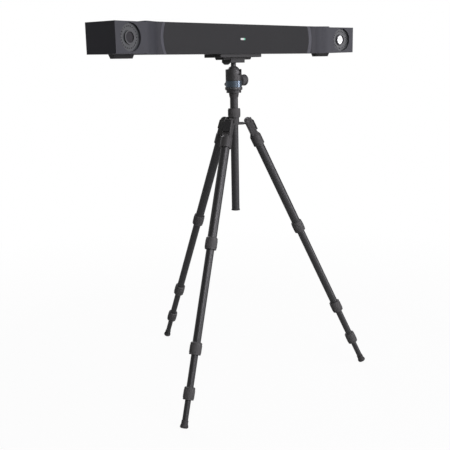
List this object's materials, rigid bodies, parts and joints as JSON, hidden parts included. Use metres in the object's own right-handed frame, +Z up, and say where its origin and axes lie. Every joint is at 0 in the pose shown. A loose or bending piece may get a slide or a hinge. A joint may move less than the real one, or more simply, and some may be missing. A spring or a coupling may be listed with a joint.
{
  "type": "laser scanner",
  "caption": "Metre-wide stereo camera scanner bar with toed-in lens ends and light rings, clamped on a ball head and a folding four-section tripod.",
  "frame": {"origin": "on the floor under the middle of the whole object's outline; the centre column stands 88.6 mm in front of it", "axes": "+Z up, +X along the bar to the right as seen from the cameras' side, the cameras face -Y"},
  "size_m": [1.0312, 0.7086, 1.136],
  "materials": {
    "black_anodised": "satin black anodised",
    "black_casting": "fine textured black paint",
    "steel": "dark fasteners",
    "grip_rubber": "matt rubber",
    "knob_plastic": "fine grained black",
    "gloss_black": "polished black",
    "bearing_plastic": "acetal",
    "bar_paint": "satin dark grey paint",
    "panel_dark": "satin dark plastic",
    "lens_glass": "coated glass",
    "illuminator_black": "dark translucent cover",
    "beam_metal": "mill finish",
    "board_green": "solder mask",
    "status_lens": "lit diffuser"
  },
  "bodies": {
    "spider": {"spider": "black_casting", "hinge_pins": "steel"},
    "column": {"centre_column": "black_anodised", "column_end_cap": "grip_rubber", "column_top_plate": "black_casting", "pan_base": "black_anodised"},
    "column_lock": {"column_lock_collar": "knob_plastic"},
    "left_leg": {"left_leg_casting": "black_casting", "left_leg_tube_1": "black_anodised"},
    "left_leg_catch": {"left_leg_angle_catch": "black_casting"},
    "left_leg_lock_1": {"left_leg_lock_1": "knob_plastic"},
    "left_leg_lock_2": {"left_leg_lock_2": "knob_plastic"},
    "left_leg_lock_3": {"left_leg_lock_3": "knob_plastic"},
    "left_leg_section_2": {"left_leg_tube_2": "black_anodised"},
    "left_leg_section_3": {"left_leg_tube_3": "black_anodised"},
    "left_leg_section_4": {"left_leg_tube_4": "black_anodised", "left_leg_foot": "grip_rubber"},
    "right_leg": {"right_leg_casting": "black_casting", "right_leg_tube_1": "black_anodised"},
    "right_leg_catch": {"right_leg_angle_catch": "black_casting"},
    "right_leg_lock_1": {"right_leg_lock_1": "knob_plastic"},
    "right_leg_lock_2": {"right_leg_lock_2": "knob_plastic"},
    "right_leg_lock_3": {"right_leg_lock_3": "knob_plastic"},
    "right_leg_section_2": {"right_leg_tube_2": "black_anodised"},
    "right_leg_section_3": {"right_leg_tube_3": "black_anodised"},
    "right_leg_section_4": {"right_leg_tube_4": "black_anodised", "right_leg_foot": "grip_rubber"},
    "rear_leg": {"rear_leg_casting": "black_casting", "rear_leg_tube_1": "black_anodised"},
    "rear_leg_catch": {"rear_leg_angle_catch": "black_casting"},
    "rear_leg_lock_1": {"rear_leg_lock_1": "knob_plastic"},
    "rear_leg_lock_2": {"rear_leg_lock_2": "knob_plastic"},
    "rear_leg_lock_3": {"rear_leg_lock_3": "knob_plastic"},
    "rear_leg_section_2": {"rear_leg_tube_2": "black_anodised"},
    "rear_leg_section_3": {"rear_leg_tube_3": "black_anodised"},
    "rear_leg_section_4": {"rear_leg_tube_4": "black_anodised", "rear_leg_foot": "grip_rubber"},
    "socket": {"socket_housing": "black_anodised", "socket_band": "gloss_black", "friction_cup": "bearing_plastic"},
    "pan_lock": {"pan_lock_knob": "knob_plastic"},
    "ball_lock": {"ball_lock_knob": "knob_plastic"},
    "ball": {"ball": "black_anodised"},
    "bar": {"ball_stem": "black_anodised", "clamp_body": "black_casting", "quick_release_plate": "black_anodised", "mounting_plate": "black_casting", "front_housing": "bar_paint", "rear_cover": "bar_paint", "centre_panel": "panel_dark", "lens_barrels": "black_casting", "camera_lenses": "lens_glass", "illuminator_rings": "illuminator_black", "chassis_beam": "beam_metal", "control_board": "board_green", "status_light": "status_lens", "bar_feet": "grip_rubber", "housing_screws": "steel"},
    "clamp_jaw": {"clamp_jaw": "black_casting"},
    "clamp_knob": {"clamp_knob": "knob_plastic"}
  },
  "joints": [
    {"name": "column_slide", "type": "slide", "parent": "spider", "child": "column", "axis": [0, 0, 1], "range_m": [-0.033, 0.255]},
    {"name": "column_lock_turn", "type": "hinge", "parent": "spider", "child": "column_lock", "pos_m": [0, -0.08861, 0.85509], "axis": [0, 0, 1], "range_deg": [0, 100]},
    {"name": "left_leg_hinge", "type": "hinge", "parent": "spider", "child": "left_leg", "pos_m": [-0.04013, -0.10665, 0.84329], "axis": [-0.4099, 0.9121, 0], "range_deg": [-25, 0]},
    {"name": "left_leg_catch_slide", "type": "slide", "parent": "left_leg", "child": "left_leg_catch", "axis": [-0.3855, -0.1732, -0.9063], "range_m": [0, 0.006], "stiffness_N_per_m": 300, "springref_m": -0.004},
    {"name": "left_leg_lock_1_turn", "type": "hinge", "parent": "left_leg", "child": "left_leg_lock_1", "pos_m": [-0.18854, -0.17334, 0.49436], "axis": [0.3855, 0.1732, 0.9063], "range_deg": [0, 90]},
    {"name": "left_leg_lock_2_turn", "type": "hinge", "parent": "left_leg_section_2", "child": "left_leg_lock_2", "pos_m": [-0.30958, -0.22774, 0.20978], "axis": [0.3855, 0.1732, 0.9063], "range_deg": [0, 90]},
    {"name": "left_leg_lock_3_turn", "type": "hinge", "parent": "left_leg_section_3", "child": "left_leg_lock_3", "pos_m": [-0.35931, -0.25009, 0.09287], "axis": [0.3855, 0.1732, 0.9063], "range_deg": [0, 90]},
    {"name": "left_leg_section_2_slide", "type": "slide", "parent": "left_leg", "child": "left_leg_section_2", "axis": [-0.3855, -0.1732, -0.9063], "range_m": [-0.275, 0]},
    {"name": "left_leg_section_3_slide", "type": "slide", "parent": "left_leg_section_2", "child": "left_leg_section_3", "axis": [-0.3855, -0.1732, -0.9063], "range_m": [-0.09, 0.19]},
    {"name": "left_leg_section_4_slide", "type": "slide", "parent": "left_leg_section_3", "child": "left_leg_section_4", "axis": [-0.3855, -0.1732, -0.9063], "range_m": [-0.055, 0.225]},
    {"name": "right_leg_hinge", "type": "hinge", "parent": "spider", "child": "right_leg", "pos_m": [0.03569, -0.11435, 0.84329], "axis": [-0.585, -0.8111, 0], "range_deg": [-25, 0]},
    {"name": "right_leg_catch_slide", "type": "slide", "parent": "right_leg", "child": "right_leg_catch", "axis": [0.3428, -0.2472, -0.9063], "range_m": [0, 0.006], "stiffness_N_per_m": 300, "springref_m": -0.004},
    {"name": "right_leg_lock_1_turn", "type": "hinge", "parent": "right_leg", "child": "right_leg_lock_1", "pos_m": [0.16765, -0.20953, 0.49436], "axis": [-0.3428, 0.2472, 0.9063], "range_deg": [0, 90]},
    {"name": "right_leg_lock_2_turn", "type": "hinge", "parent": "right_leg_section_2", "child": "right_leg_lock_2", "pos_m": [0.27528, -0.28715, 0.20978], "axis": [-0.3428, 0.2472, 0.9063], "range_deg": [0, 90]},
    {"name": "right_leg_lock_3_turn", "type": "hinge", "parent": "right_leg_section_3", "child": "right_leg_lock_3", "pos_m": [0.3195, -0.31904, 0.09287], "axis": [-0.3428, 0.2472, 0.9063], "range_deg": [0, 90]},
    {"name": "right_leg_section_2_slide", "type": "slide", "parent": "right_leg", "child": "right_leg_section_2", "axis": [0.3428, -0.2472, -0.9063], "range_m": [-0.275, 0]},
    {"name": "right_leg_section_3_slide", "type": "slide", "parent": "right_leg_section_2", "child": "right_leg_section_3", "axis": [0.3428, -0.2472, -0.9063], "range_m": [-0.09, 0.19]},
    {"name": "right_leg_section_4_slide", "type": "slide", "parent": "right_leg_section_3", "child": "right_leg_section_4", "axis": [0.3428, -0.2472, -0.9063], "range_m": [-0.055, 0.225]},
    {"name": "rear_leg_hinge", "type": "hinge", "parent": "spider", "child": "rear_leg", "pos_m": [0.00445, -0.04484, 0.84329], "axis": [0.9949, -0.1011, 0], "range_deg": [-25, 0]},
    {"name": "rear_leg_catch_slide", "type": "slide", "parent": "rear_leg", "child": "rear_leg_catch", "axis": [0.0427, 0.4205, -0.9063], "range_m": [0, 0.006], "stiffness_N_per_m": 300, "springref_m": -0.004},
    {"name": "rear_leg_lock_1_turn", "type": "hinge", "parent": "rear_leg", "child": "rear_leg_lock_1", "pos_m": [0.02089, 0.11704, 0.49436], "axis": [-0.0427, -0.4205, 0.9063], "range_deg": [0, 90]},
    {"name": "rear_leg_lock_2_turn", "type": "hinge", "parent": "rear_leg_section_2", "child": "rear_leg_lock_2", "pos_m": [0.0343, 0.24906, 0.20978], "axis": [-0.0427, -0.4205, 0.9063], "range_deg": [0, 90]},
    {"name": "rear_leg_lock_3_turn", "type": "hinge", "parent": "rear_leg_section_3", "child": "rear_leg_lock_3", "pos_m": [0.03981, 0.3033, 0.09287], "axis": [-0.0427, -0.4205, 0.9063], "range_deg": [0, 90]},
    {"name": "rear_leg_section_2_slide", "type": "slide", "parent": "rear_leg", "child": "rear_leg_section_2", "axis": [0.0427, 0.4205, -0.9063], "range_m": [-0.275, 0]},
    {"name": "rear_leg_section_3_slide", "type": "slide", "parent": "rear_leg_section_2", "child": "rear_leg_section_3", "axis": [0.0427, 0.4205, -0.9063], "range_m": [-0.09, 0.19]},
    {"name": "rear_leg_section_4_slide", "type": "slide", "parent": "rear_leg_section_3", "child": "rear_leg_section_4", "axis": [0.0427, 0.4205, -0.9063], "range_m": [-0.055, 0.225]},
    {"name": "pan_turn", "type": "hinge", "parent": "column", "child": "socket", "pos_m": [0, -0.08861, 0.94859], "axis": [0, 0, 1], "continuous": true},
    {"name": "pan_lock_turn", "type": "hinge", "parent": "socket", "child": "pan_lock", "pos_m": [0, -0.05161, 0.95709], "axis": [0, 1, 0], "range_deg": [0, 360]},
    {"name": "ball_lock_turn", "type": "hinge", "parent": "socket", "child": "ball_lock", "pos_m": [0.0508, -0.08861, 0.96899], "axis": [1, 0, 0], "range_deg": [0, 270]},
    {"name": "ball_roll", "type": "hinge", "parent": "socket", "child": "ball", "pos_m": [0, -0.08861, 0.99299], "axis": [0, 1, 0], "range_deg": [-20, 20]},
    {"name": "stem_tilt", "type": "hinge", "parent": "ball", "child": "bar", "pos_m": [0, -0.08861, 0.99299], "axis": [1, 0, 0], "range_deg": [-30, 30]},
    {"name": "clamp_jaw_slide", "type": "slide", "parent": "bar", "child": "clamp_jaw", "axis": [0, 1, 0], "range_m": [0, 0.002]},
    {"name": "clamp_knob_turn", "type": "hinge", "parent": "clamp_jaw", "child": "clamp_knob", "pos_m": [0, -0.06831, 1.02709], "axis": [0, 1, 0], "range_deg": [0, 720]}
  ],
  "couplings": [
    {"joint": "clamp_knob_turn", "follows": "clamp_jaw_slide", "rad_per_m": 6283.2}
  ]
}
